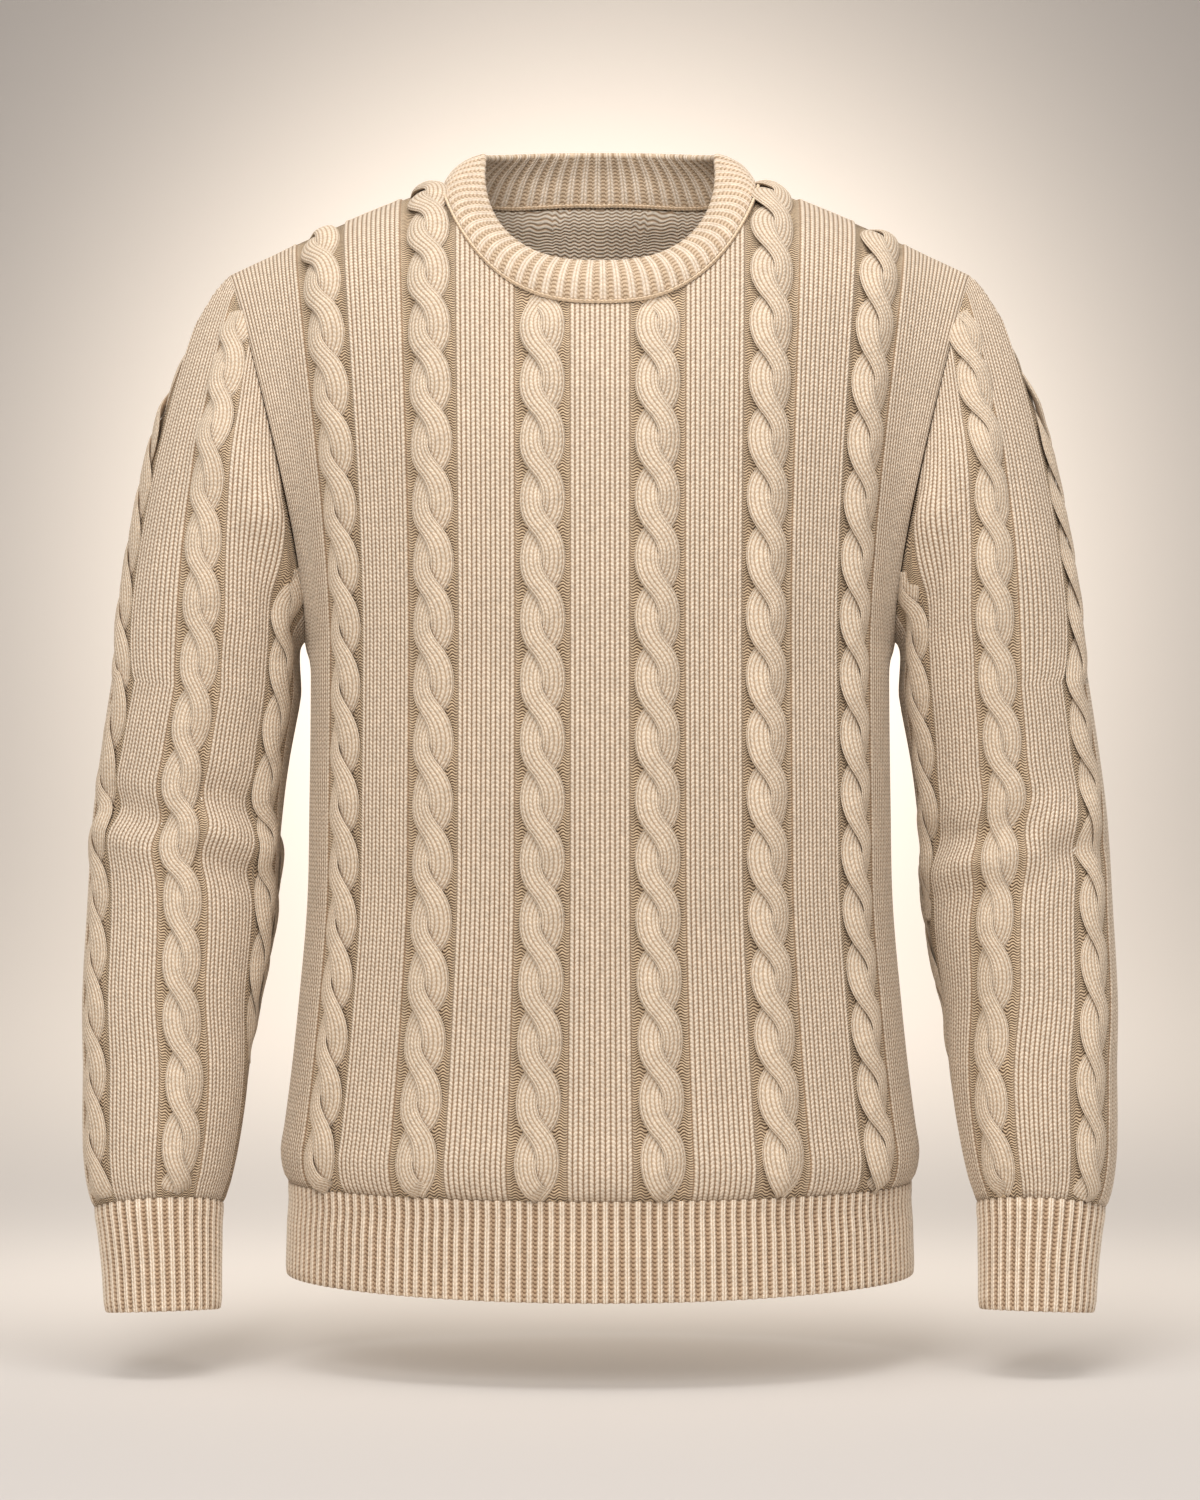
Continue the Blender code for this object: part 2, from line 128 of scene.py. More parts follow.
FOLD_DEPTH = 1.0
FOLD_SPREAD = 1.2  # the knitting turns over each fold more softly than its solid does
LEFT_FOLDS = (  # face, from x, z, to x, z, width, height
    (-1, 0.230, -0.172, 0.205, -0.212, 0.014, 0.0050),
    (-1, 0.205, -0.212, 0.192, -0.245, 0.011, 0.0040),
    (-1, 0.252, -0.404, 0.246, -0.408, 0.011, -0.0045),
    (-1, 0.262, -0.421, 0.228, -0.424, 0.010, 0.0030),
    (-1, 0.212, -0.436, 0.232, -0.426, 0.009, 0.0045),
    (-1, 0.208, -0.412, 0.226, -0.414, 0.009, -0.0045),
    (-1, 0.262, -0.437, 0.222, -0.446, 0.011, -0.0028),
    (-1, 0.282, -0.402, 0.298, -0.400, 0.010, 0.0030),
    (-1, 0.286, -0.421, 0.304, -0.418, 0.009, -0.0040),
    (1, 0.212, -0.408, 0.246, -0.414, 0.010, -0.0040),
    (1, 0.214, -0.430, 0.262, -0.434, 0.011, 0.0040),
    (1, 0.270, -0.418, 0.304, -0.410, 0.010, 0.0030),
)
RIGHT_FOLDS = (
    (-1, 0.232, -0.170, 0.206, -0.210, 0.014, 0.0050),
    (-1, 0.206, -0.210, 0.193, -0.243, 0.011, 0.0040),
    (-1, 0.302, -0.391, 0.276, -0.400, 0.009, -0.0050),
    (-1, 0.238, -0.385, 0.220, -0.392, 0.010, -0.0050),
    (-1, 0.242, -0.405, 0.216, -0.419, 0.009, 0.0050),
    (-1, 0.242, -0.425, 0.220, -0.433, 0.009, -0.0045),
    (-1, 0.304, -0.408, 0.282, -0.414, 0.010, 0.0035),
    (1, 0.214, -0.396, 0.250, -0.404, 0.011, -0.0040),
    (1, 0.214, -0.420, 0.258, -0.426, 0.011, 0.0040),
    (1, 0.272, -0.408, 0.302, -0.402, 0.010, 0.0030),
)

# ---------------------------------------------------------------- sizes of the knitting

COURSE = 0.0026  # one row of stitches
BODY_REPEATS = 7  # from one side seam to the other: a band and a cable each
CABLE_PLACES = (-2.5, -1.5, -0.5, 0.5, 1.5, 2.5)  # in repeats, from the middle of a panel or sleeve
CHANNEL = 0.241  # half width of the channel a cable lies in, as a share of the repeat
WALES = 6  # columns of stitches in a band
WALE_RISE = 0.00038
CHANNEL_DEPTH = 0.0016
CHANNEL_STEPS = (-0.95, -0.82, -0.55, -0.25, 0.0, 0.25, 0.55, 0.82, 0.95)  # net columns in a channel

STRAND_LEGS = 8
CABLES = {  # crossing to crossing, swing, rise, lift, strand width and thickness
    "body": (0.0362, 0.0067, 0.0022, 0.0009, 0.0150, 0.0054),
    "sleeve": (0.0374, 0.0058, 0.0017, 0.0004, 0.0130, 0.0044),
}
FIRST_CROSSING_Z = -0.2962

HEM_RIBS = 80
CUFF_RIBS = 37
COLLAR_RIBS = 76
INNER_LINK_RADIUS, INNER_LINK_RISE = 0.0013, 0.0006  # the yarn that links the collar on, inside and outside
OUTER_LINK_RADIUS, OUTER_LINK_RISE = 0.0011, 0.0010
RIB_STEPS = (0.0, 0.13, 0.22, 0.36, 0.50, 0.64, 0.78, 0.87)
RIB_HEIGHTS = (-0.0011, -0.0009, 0.0, 0.0009, 0.0006, 0.0009, 0.0, -0.0009)

SLEEVE_WAYS = {  # how the cables lie on a straight arm: height, way of the first and of the second cable
    "left": ((-0.318, 0.200, 0.515), (-0.400, 0.215, 0.560), (-0.500, 0.255, 0.650), (-0.574, 0.287, 0.716),
             (-0.640, 0.300, 0.735)),
    "right": ((-0.318, 0.185, 0.500), (-0.400, 0.167, 0.505), (-0.500, 0.190, 0.560), (-0.574, 0.200, 0.607),
              (-0.640, 0.208, 0.625)),
}
ARMHOLE_WAYS = (  # place in the sleeve's repeats, where that column meets the armhole
    (-3.0, -1.000), (-2.5, -0.900), (-1.5, -0.680), (-0.5, -0.400), (0.0, -0.260), (0.5, -0.120),
    (1.0, 0.000), (1.5, 0.128), (1.78, 0.240), (2.22, 0.680), (2.5, 0.820), (3.0, 1.000),
)
PINCHES = {  # where elbow folds push the columns sideways: height, half height, shift in the way
    "left": ((-0.390, 0.014, -0.013), (-0.412, 0.015, 0.011), (-0.432, 0.016, -0.006)),
    "right": ((-0.386, 0.014, -0.009), (-0.404, 0.014, 0.012), (-0.426, 0.014, -0.011)),
}
FRONT_CABLE_BEND = 2.6  # how soon the cables of the sleeve settle into their line: 1 is evenly
OUTER_CABLE_BEND = 0.8
SLEEVE_CROSSING_Z = {"left": -0.556, "right": -0.3203}
STRAND_STEP = 0.003
YOKE_STEPS = 58
BODY_STEPS = 66
CAP_STEPS = 50
ARM_STEPS = 72
BAND_STEPS = 12
SIDE_COLUMNS = 56

# ---------------------------------------------------------------- curves

def hermite(t, start, leave, end, arrive):
    return (
        ((2 * t - 3) * t * t + 1) * start + ((t - 2) * t + 1) * t * leave
        + (3 - 2 * t) * t * t * end + (t - 1) * t * t * arrive
    )


def smooth(table, column, at):
    """Reads a column of a table along its first column, as a cubic curve through the rows."""
    table = np.asarray(table, float)
    xs, ys = table[:, 0], table[:, column]
    if xs[0] > xs[-1]:
        xs, ys = xs[::-1], ys[::-1]
    slope = np.gradient(ys, xs)
    at = np.clip(at, xs[0], xs[-1])
    i = np.clip(np.searchsorted(xs, at) - 1, 0, len(xs) - 2)
    step = xs[i + 1] - xs[i]
    return hermite((at - xs[i]) / step, ys[i], slope[i] * step, ys[i + 1], slope[i + 1] * step)


def ease(low, high, at):
    t = np.clip((at - low) / (high - low), 0, 1)
    return t * t * (3 - 2 * t)


def unit(vectors):
    return vectors / np.maximum(np.linalg.norm(vectors, axis=-1, keepdims=True), 1e-12)


# ---------------------------------------------------------------- the body

def turn(share):
    """The angle round the body from its middle line, for a share of the way along the cloth to the side."""
    angle = np.linspace(0, np.pi / 2, 361)
    x, y = 0.187 * np.sin(angle), 0.128 * np.cos(angle)
    along = np.concatenate([[0], np.cumsum(np.hypot(np.diff(x), np.diff(y)))])
    return np.interp(np.abs(share), along / along[-1], angle) * np.sign(share)


def body_ring(face, share, z):
    """A point of the front (face -1) or back (face 1) below the underarm; share runs from -1 to 1."""
    angle = turn(share)
    depth = smooth(BODY, 2 if face < 0 else 3, z)
    flare = 0.004 * np.exp(-(((z - UNDERARM_Z) / 0.009) ** 2)) * ease(0.88, 1, np.abs(share))
    x = (smooth(BODY, 1, z) + flare) * np.sin(angle)
    return np.stack([x, face * depth * np.cos(angle), z + 0 * x], -1)


def place_of(share):
    """0 at the middle, 1 where the collar meets the shoulder seam, 2 at the armhole."""
    share = np.abs(share)
    neck = np.clip(share / NECK_SHARE, 0, 1) ** (1 / NECK_ROUND)
    return np.where(
        share < NECK_SHARE, np.arcsin(neck) / (np.pi / 2), 1 + (share - NECK_SHARE) / (1 - NECK_SHARE)
    )


def share_at(place):
    """The inverse of place_of."""
    neck = NECK_SHARE * np.sin(np.clip(place, 0, 1) * np.pi / 2) ** NECK_ROUND
    return np.where(place < 1, neck, NECK_SHARE + (1 - NECK_SHARE) * (place - 1))


def column(face, share, t):
    """A point between the line of the shoulders (t 0) and the underarm level (t 1), with no neckline cut."""
    size = np.abs(share)
    out = np.clip((size - NECK_SHARE) / (1 - NECK_SHARE), 0, 1)
    out = out + 0.18 * out * (1 - out)
    x = NECK_HALF_WIDTH * np.clip(size / NECK_SHARE, 0, 1) + (TIP[0] - NECK_HALF_WIDTH) * out
    z = TIP[2] * out ** SHOULDER_ROUND
    if face > 0:
        z = z + NAPE_RISE * (1 - np.clip(size / NECK_SHARE, 0, 1) ** 2) ** 1.5
    side = np.sign(share)
    top = np.stack([x * side, SHOULDER_Y + 0 * x, z], -1)
    table = FRONT_YOKE if face < 0 else BACK_YOKE
    leave = np.stack([smooth(table, 1, size) * side, smooth(table, 2, size), smooth(table, 3, size)], -1)
    arrive = np.stack([smooth(table, 4, size) * side, smooth(table, 5, size), smooth(table, 6, size)], -1)
    foot = body_ring(face, share, UNDERARM_Z + 0 * share)
    return hermite(t[..., None], top, leave, foot, arrive)


def neckline(face, share):
    """How far down each column the neckline cuts it: the front to a height, the back to a depth."""
    places, fine = np.linspace(0, 1, 121), np.linspace(0, 0.7, 141)
    place, t = np.meshgrid(places, fine, indexing="ij")
    points = column(face, share_at(place), t)
    angle = places * np.pi / 2
    if face < 0:
        found, wanted = -points[..., 2], -NECK_FRONT_Z * np.cos(angle) ** 1.4
    else:
        found = points[..., 1]
        wanted = SHOULDER_Y + (NECK_BACK_Y - SHOULDER_Y) * np.cos(angle) ** NECK_ROUND
    cuts = [np.interp(goal, row, fine) for goal, row in zip(wanted, np.maximum.accumulate(found, axis=1))]
    return np.interp(place_of(share), places, cuts) * (np.abs(share) < NECK_SHARE)


def yoke(face, share, t):
    """A point of a panel between its top edge (t 0) and the underarm level (t 1)."""
    cut = neckline(face, share)
    return column(face, share, cut + (1 - cut) * t)


def top_edge(face, share):
    """The neckline and, beyond it, the shoulder seam."""
    return yoke(face, share, 0 * share)


# ---------------------------------------------------------------- the sleeves

def armhole(face, way):
    """A point of the armhole; way runs from 0 at the shoulder tip to 1 under the arm, along its length."""
    t = np.linspace(0, 1, 241)
    line = yoke(face, np.ones_like(t), t)
    along = np.concatenate([[0], np.cumsum(np.linalg.norm(np.diff(line, axis=0), axis=1))])
    return yoke(face, np.ones_like(way), np.interp(way, along / along[-1], t))


def arm_ring(way, z):
    """A point of the sleeve below its cap. Way runs from 0 outside round the front to 1 at the inner side,
    and from 0 round the back to -1. Each ring lies square to the arm."""
    step = 0.004
    middle = np.stack([smooth(ARM, 1, z), smooth(ARM, 2, z), z + 0 * way], -1)
    ahead = np.stack([smooth(ARM, 1, z - step), smooth(ARM, 2, z - step), z - step + 0 * way], -1)
    back = np.stack([smooth(ARM, 1, z + step), smooth(ARM, 2, z + step), z + step + 0 * way], -1)
    down = unit(ahead - back)
    out = unit(np.array([1.0, 0, 0]) - down[..., :1] * down)
    front = unit(np.array([0, -1.0, 0]) + down[..., 1:2] * down)
    angle = (way * np.pi)[..., None]
    wide, deep = smooth(ARM, 3, z)[..., None], smooth(ARM, 4, z)[..., None]
    return middle + out * wide * np.cos(angle) + front * deep * np.sin(angle), down


def sleeve_cap(way, t):
    """A point of the sleeve between the armhole (t 0) and the top of the straight arm (t 1)."""
    start = np.where(way[..., None] >= 0, armhole(-1, np.abs(way)), armhole(1, np.abs(way)))
    end, down = arm_ring(way, ARM_TOP_Z + 0 * way)
    forward = -np.sign(way)
    leave = np.stack(
        [smooth(CAP, 1, np.abs(way)), forward * smooth(CAP, 2, np.abs(way)), smooth(CAP, 3, np.abs(way))], -1
    )
    arrive = down * (CAP_ARRIVES * (1 - 0.75 * ease(0.6, 1, np.abs(way))))[..., None]
    return hermite(t[..., None], start, leave, end, arrive)


# ---------------------------------------------------------------- the collar

def collar(face, place, up):
    """A point of the collar; place is -1 to 1 across the front or back, up is 0 at its seam and 1 on top."""
    angle = np.abs(place) * np.pi / 2
    seam = top_edge(face, share_at(np.abs(place)) * np.sign(place))
    reach, height = COLLAR_FRONT if face < 0 else COLLAR_BACK
    power = 0.85 if face < 0 else 1.0
    x = COLLAR_HALF_WIDTH * np.sin(angle) ** NECK_ROUND * np.sign(place)
    y = SHOULDER_Y * 0.5 + (reach - SHOULDER_Y * 0.5) * np.cos(angle) ** NECK_ROUND
    z = COLLAR_SIDE_Z + (height - COLLAR_SIDE_Z) * np.cos(angle) ** power
    top = np.stack([x, y, z], -1)
    bulge = COLLAR_BULGE * np.sin(np.pi * up)[..., None]
    outward = unit(np.stack([x, y, 0.06 + 0 * x], -1))
    return seam + (top - seam) * up[..., None] + outward * bulge

# ---------------------------------------------------------------- nets of cloth

def net_normals(net, closed):
    down = np.gradient(net, axis=0)
    if closed:
        across = (np.roll(net, -1, axis=1) - np.roll(net, 1, axis=1)) / 2
    else:
        across = np.gradient(net, axis=1)
    return unit(np.cross(down, across))


def length_down(net):
    """How far each point lies down its column, along the cloth."""
    steps = np.linalg.norm(np.diff(net, axis=0), axis=2)
    return np.concatenate([np.zeros((1, net.shape[1])), np.cumsum(steps, axis=0)])


def folded(net, closed, folds):
    """Moves points out or in along the folds, fading towards the seams."""
    normals = net_normals(net, closed)
    down = length_down(net)
    fade = ease(0, 0.02, np.minimum(down, down[-1] - down))[..., None]
    moved = net.copy()
    for face, x1, z1, x2, z2, width, height in folds:
        run = np.array([x2 - x1, z2 - z1])
        offset = net[..., [0, 2]] - np.array([x1, z1])
        t = np.clip(offset @ run / max(run @ run, 1e-12), 0, 1)
        away = np.linalg.norm(offset - t[..., None] * run, axis=-1)
        facing = ease(0.05, 0.6, face * normals[..., 1])
        swell = np.exp(-((away / (FOLD_SPREAD * width)) ** 2))
        moved += normals * fade * (FOLD_DEPTH * height * facing * swell)[..., None]
    return moved


def mirrored(net):
    return net[:, ::-1] * np.array([-1.0, 1, 1])


# ---------------------------------------------------------------- the pattern of bands and channels

WALE = (1 - 2 * CHANNEL) / WALES  # one column of stitches, as a share of the repeat


def pattern_columns(last_cable, reach):
    """Places of the net's columns, in repeats from the middle: six to a wale, and nine in a channel."""
    places, start = [], 0.0
    for cable in np.arange(0.5, last_cable + 0.1):
        wales = round((cable - CHANNEL - start) / WALE)
        places.extend(np.linspace(start, cable - CHANNEL, 6 * wales, endpoint=False))
        places.append(cable - CHANNEL)
        places.extend(cable + CHANNEL * np.array(CHANNEL_STEPS))
        start = cable + CHANNEL
    wales = round((reach - start) / WALE)
    places.extend(np.linspace(start, reach, 6 * wales + 1))
    half = np.array(places)
    return np.concatenate([-half[:0:-1], half])


def wales_from_cable(place, last_cable):
    """Distance from the edge of the nearest channel, in wales: below 0 inside the channel."""
    size = np.abs(place)
    nearest = np.clip(np.floor(size) + 0.5, 0.5, last_cable)
    return (np.abs(size - nearest) - CHANNEL) / WALE


def band_relief(wales, depth=CHANNEL_DEPTH):
    """Height of the knit over the cloth's own surface, and how much of it is purl."""
    on_band = ease(-0.22, 0.10, wales)
    ridge = np.abs(np.sin(2 * np.pi * wales)) ** 0.8
    edge_wale = 0.00035 * np.exp(-(((wales - 0.28) / 0.25) ** 2))
    height = on_band * (WALE_RISE * ridge + edge_wale) - (1 - on_band) * depth
    # The purl share also gives the channels the face yarn's darker purl colours: partly the purl's own look,
    # partly painted shade in the channels.
    return height, 1 - on_band


def fanned(rows, wales, crossings):
    """In the channels the threads run together at each crossing of the cable."""
    nearest = crossings * np.round(rows / crossings)
    closeness = np.clip(-wales / 3.0, 0, 1)
    return rows + 0.8 * closeness * (nearest - rows) * np.exp(-(((nearest - rows) / (0.3 * crossings)) ** 2))


# ---------------------------------------------------------------- making meshes

def mesh_object(name, points, faces, maps, materials, face_materials=None):
    """A smooth mesh. Its points carry the knitting's own places, wales and courses, and how purl they are."""
    mesh = bpy.data.meshes.new(name)
    mesh.from_pydata(points.tolist(), [], faces)
    for material in materials:
        mesh.materials.append(material)
    if face_materials is not None:
        mesh.polygons.foreach_set("material_index", np.asarray(face_materials, np.int32))
    corner = np.empty(len(mesh.loops), np.int32)
    mesh.loops.foreach_get("vertex_index", corner)
    layer = mesh.uv_layers.new(name="Stitches")
    layer.data.foreach_set("uv", maps["stitches"][corner].astype(np.float32).ravel())
    purl = mesh.attributes.new("purl", "FLOAT", "POINT")
    purl.data.foreach_set("value", maps["purl"].astype(np.float32))
    mesh.shade_smooth()
    obj = bpy.data.objects.new(name, mesh)
    bpy.context.scene.collection.objects.link(obj)
    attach(obj, "root")
    return obj


def coarse(count, step):
    """Every so-manieth number below a count, always with the last."""
    picks = list(range(0, count - 1, step))
    return picks + [count - 1]


def shell(name, outer, inner, closed, stitches, purl, materials, step=4):
    """A closed wall of cloth: the outer skin in full, the inner skin with every fourth row and column."""
    rows, columns = outer.shape[:2]
    number = np.arange(rows * columns).reshape(rows, columns)
    if closed:
        number = np.concatenate([number, number[:, :1]], axis=1)
    quads = np.stack([number[:-1, :-1], number[1:, :-1], number[1:, 1:], number[:-1, 1:]], -1).reshape(-1, 4)
    row_picks = coarse(rows, step)
    column_picks = coarse(number.shape[1], step)
    kept = column_picks[:-1] if closed else column_picks
    inside = rows * columns + np.arange(len(row_picks) * len(kept)).reshape(len(row_picks), len(kept))
    if closed:
        inside = np.concatenate([inside, inside[:, :1]], axis=1)
    back = np.stack([inside[:-1, :-1], inside[:-1, 1:], inside[1:, 1:], inside[1:, :-1]], -1).reshape(-1, 4)
    faces = quads.tolist() + back.tolist()
    for i, (a, b) in enumerate(zip(column_picks[:-1], column_picks[1:])):
        faces.append(number[0, a : b + 1].tolist() + [inside[0, i + 1], inside[0, i]])
        faces.append(number[-1, a : b + 1][::-1].tolist() + [inside[-1, i], inside[-1, i + 1]])
    if not closed:
        for i, (a, b) in enumerate(zip(row_picks[:-1], row_picks[1:])):
            faces.append(number[a : b + 1, 0][::-1].tolist() + [inside[i, 0], inside[i + 1, 0]])
            faces.append(number[a : b + 1, -1].tolist() + [inside[i + 1, -1], inside[i, -1]])
    picked = np.ix_(row_picks, kept)
    points = np.concatenate([outer.reshape(-1, 3), inner[picked].reshape(-1, 3)])
    maps = {
        "stitches": np.concatenate([stitches.reshape(-1, 2), stitches[picked].reshape(-1, 2)]),
        "purl": np.concatenate([purl.ravel(), np.ones(len(row_picks) * len(kept))]),
    }
    side = np.zeros(len(faces), np.int32)
    side[len(quads) : len(quads) + len(back)] = 1
    return mesh_object(name, points, faces, maps, materials, side)


def band(name, outer, inner, closed, stitches, purl, materials, free_end):
    """A ribbed band with both skins in full, rounded over its free end (first or last row)."""
    if free_end == "first":
        outer, inner, stitches, purl = outer[::-1], inner[::-1], stitches[::-1], purl[::-1]
    middle = (outer[-1] + inner[-1]) / 2
    across = (outer[-1] - inner[-1]) / 2
    reach = np.linalg.norm(across, axis=-1, keepdims=True) * unit(outer[-1] - outer[-3])
    turn_over = [middle + across * np.cos(a) + reach * np.sin(a) for a in np.linspace(0, np.pi, 7)[1:-1]]
    skin = np.concatenate([outer, np.array(turn_over), inner[::-1]])
    over = len(turn_over)
    maps_rows = [stitches, np.repeat(stitches[-1:], over, axis=0), stitches[::-1]]
    stitched = np.concatenate(maps_rows)
    purled = np.concatenate([purl, np.repeat(purl[-1:], over, axis=0), purl[::-1]])
    rows, columns = skin.shape[:2]
    number = np.arange(rows * columns).reshape(rows, columns)
    if closed:
        number = np.concatenate([number, number[:, :1]], axis=1)
    quads = np.stack([number[:-1, :-1], number[1:, :-1], number[1:, 1:], number[:-1, 1:]], -1).reshape(-1, 4)
    rim = np.stack([number[-1, :-1], number[0, :-1], number[0, 1:], number[-1, 1:]], -1)
    faces = quads.tolist() + rim.tolist()
    if not closed:
        for side, turned in ((0, True), (-1, False)):
            line = number[:, side]
            last = len(line) - 1
            depth = len(outer)
            for i in range(depth - 1):
                quad = [line[i], line[i + 1], line[last - i - 1], line[last - i]]
                faces.append(quad[::-1] if turned else quad)
            cap = line[depth - 1 : last - depth + 2].tolist()
            faces.append(cap[::-1] if turned else cap)
    if free_end == "first":
        faces = [face[::-1] for face in faces]
    return mesh_object(name, skin.reshape(-1, 3), faces,
                       {"stitches": stitched.reshape(-1, 2), "purl": purled.ravel()}, materials)

# ---------------------------------------------------------------- cables

def along_rows(values, spots):
    """Reads each row of an array at its own spot between the columns."""
    low = np.clip(np.floor(spots).astype(int), 0, values.shape[1] - 2)
    part = (spots - low)[:, None]
    rows = np.arange(len(values))
    return values[rows, low] * (1 - part) + values[rows, low + 1] * part


def cable_line(net, closed, places, place):
    """The line of a cable down a net: its points and the cloth's normals."""
    normals = net_normals(net, closed)
    sign = 1 if places[0, -1] > places[0, 0] else -1
    count = np.arange(net.shape[1])
    spots = np.array([np.interp(sign * place, sign * row, count) for row in places])
    kept = (spots > 2) & (spots < net.shape[1] - 3)
    last = len(kept) if kept.all() else int(np.argmin(kept))
    return [along_rows(v, spots)[:last] for v in (net, normals)]


def strand_rings(line, normal, room, phase, sizes, sense):
    """Rings of points down one strand of a cable, and the strand's own stitch places. Room falls to 0
    where the cable runs into a seam at its side."""
    crossing, reach, rises, lift, width, thickness = sizes
    across = unit(np.cross(normal, np.gradient(line, axis=0)))
    angle = np.pi * phase / crossing + (0 if sense > 0 else np.pi)
    swing = (reach * np.tanh(np.sin(angle)) / math.tanh(1))[:, None]
    travelled = np.arange(len(line)) * STRAND_STEP
    tuck = (ease(0, 0.007, travelled[::-1]) * ease(0, 0.020, travelled) * room)[:, None]
    rise = (lift + rises * np.cos(angle))[:, None] * tuck - 0.0014 * (1 - tuck)
    rise = np.maximum(rise, -0.0012)
    middle = line + across * swing + normal * rise
    along = unit(np.gradient(middle, axis=0))
    up = unit(normal + across * (0.42 * np.sin(angle))[:, None])
    up = unit(up - along * (up * along).sum(-1, keepdims=True))
    wide = np.cross(along, up)
    size = (0.87 + 0.13 * np.abs(np.sin(angle)))[:, None]
    flat = 0.15 + 0.85 * tuck
    top = np.linspace(0, np.pi, 2 * STRAND_LEGS + 1)
    around = np.concatenate([top, np.pi + np.array([0.25, 0.5, 0.75]) * np.pi])
    leg = 0.00018 * np.abs(np.sin(np.arange(len(top)) * np.pi / 2))
    bump = np.concatenate([leg, np.zeros(3)])
    sides = width / 2 * np.cos(around) + bump * np.cos(around)
    heights = thickness / 2 * np.sign(np.sin(around)) * np.abs(np.sin(around)) ** 0.8 + bump * np.sin(around)
    heights = np.where(heights < 0, 0.35 * heights, heights)
    lifted = up[:, None] * heights[:, None] * flat[:, None]
    rings = middle[:, None] + size[:, None] * wide[:, None] * sides[:, None] + lifted
    legs = np.concatenate([np.arange(len(top)) / 2, np.full(3, STRAND_LEGS)]) / 2
    travelled = np.concatenate([[0], np.cumsum(np.linalg.norm(np.diff(middle, axis=0), axis=1))])
    stitches = np.stack(np.broadcast_arrays(legs[None], travelled[:, None] / COURSE), -1)
    return rings, stitches


def cables(name, net, closed, places, crossings, phases, sizes, materials):
    """All cables of one piece. Phases holds how far each point of the net lies past a crossing."""
    points, faces, stitches, count = [], [], [], 0
    for place in crossings:
        line, normal = cable_line(net, closed, places, place)
        sign = 1 if places[0, -1] > places[0, 0] else -1
        spots = np.array([np.interp(sign * place, sign * row, np.arange(net.shape[1])) for row in places])
        phase = along_rows(phases[..., None], spots)[: len(line), 0]
        room = ease(0, 20, np.minimum(spots, net.shape[1] - 1 - spots)[: len(line)] - 2)
        travelled = np.concatenate([[0], np.cumsum(np.linalg.norm(np.diff(line, axis=0), axis=1))])
        fine = np.arange(0.001, travelled[-1] - 0.001, STRAND_STEP)
        spread = lambda values: np.stack([np.interp(fine, travelled, column) for column in values.T], -1)
        line, normal = spread(line), unit(spread(normal))
        phase, room = np.interp(fine, travelled, phase), np.interp(fine, travelled, room)
        for sense in (1, -1):
            rings, places_on = strand_rings(line, normal, room, phase, sizes, sense)
            rows, columns = rings.shape[:2]
            number = count + np.arange(rows * columns).reshape(rows, columns)
            number = np.concatenate([number, number[:, :1]], axis=1)
            quads = np.stack([number[:-1, :-1], number[1:, :-1], number[1:, 1:], number[:-1, 1:]], -1)
            faces += quads.reshape(-1, 4).tolist()
            faces += [number[0, :-1].tolist(), number[-1, :-1][::-1].tolist()]
            points.append(rings.reshape(-1, 3))
            stitches.append(places_on.reshape(-1, 2))
            count += rows * columns
    points = np.concatenate(points)
    maps = {"stitches": np.concatenate(stitches), "purl": np.zeros(len(points))}
    return mesh_object(name, points, faces, maps, materials)


# ---------------------------------------------------------------- the pieces

def panel(face, name, materials):
    places = pattern_columns(2.5, BODY_REPEATS / 2) * -face
    shares = places / (BODY_REPEATS / 2)
    share, t = np.meshgrid(shares, np.linspace(0, 1, YOKE_STEPS + 1))
    upper = yoke(face, share, t)
    share, z = np.meshgrid(shares, np.linspace(UNDERARM_Z, RIB_TOP_Z, BODY_STEPS + 1)[1:])
    net = np.concatenate([upper, body_ring(face, share, z)])
    places = np.broadcast_to(places, net.shape[:2])
    down = length_down(net)
    phases = down - down[YOKE_STEPS] + (FIRST_CROSSING_Z - UNDERARM_Z)
    wales = wales_from_cable(places, 2.5)
    height, purl = band_relief(wales)
    steps = np.linalg.norm(np.diff(net, axis=1), axis=2)
    sides = np.concatenate([np.zeros((len(net), 1)), np.cumsum(steps, axis=1)], 1)
    height = seamed(height, down, np.minimum(sides, sides[:, -1:] - sides))
    normals = net_normals(net, False)
    rows = fanned(phases, wales, CABLES["body"][0]) / COURSE
    stitches = np.stack([wales, rows], -1)
    outer, inner = net + normals * height[..., None], net - normals * WALL
    made = shell(name, outer, inner, False, stitches, purl, materials)
    made_cables = cables(name + "_cables", net, False, places, CABLE_PLACES, phases,
                         CABLES["body"], [materials[2]])
    return made, made_cables


def seamed(height, down, sides=None):
    """Lays the knitting flat into a shallow groove along its seams."""
    near = np.minimum(down, down[-1] - down)
    if sides is not None:
        near = np.minimum(near, sides)
    return height * ease(0, 0.004, near) - 0.0007 * np.exp(-((near / 0.0016) ** 2))


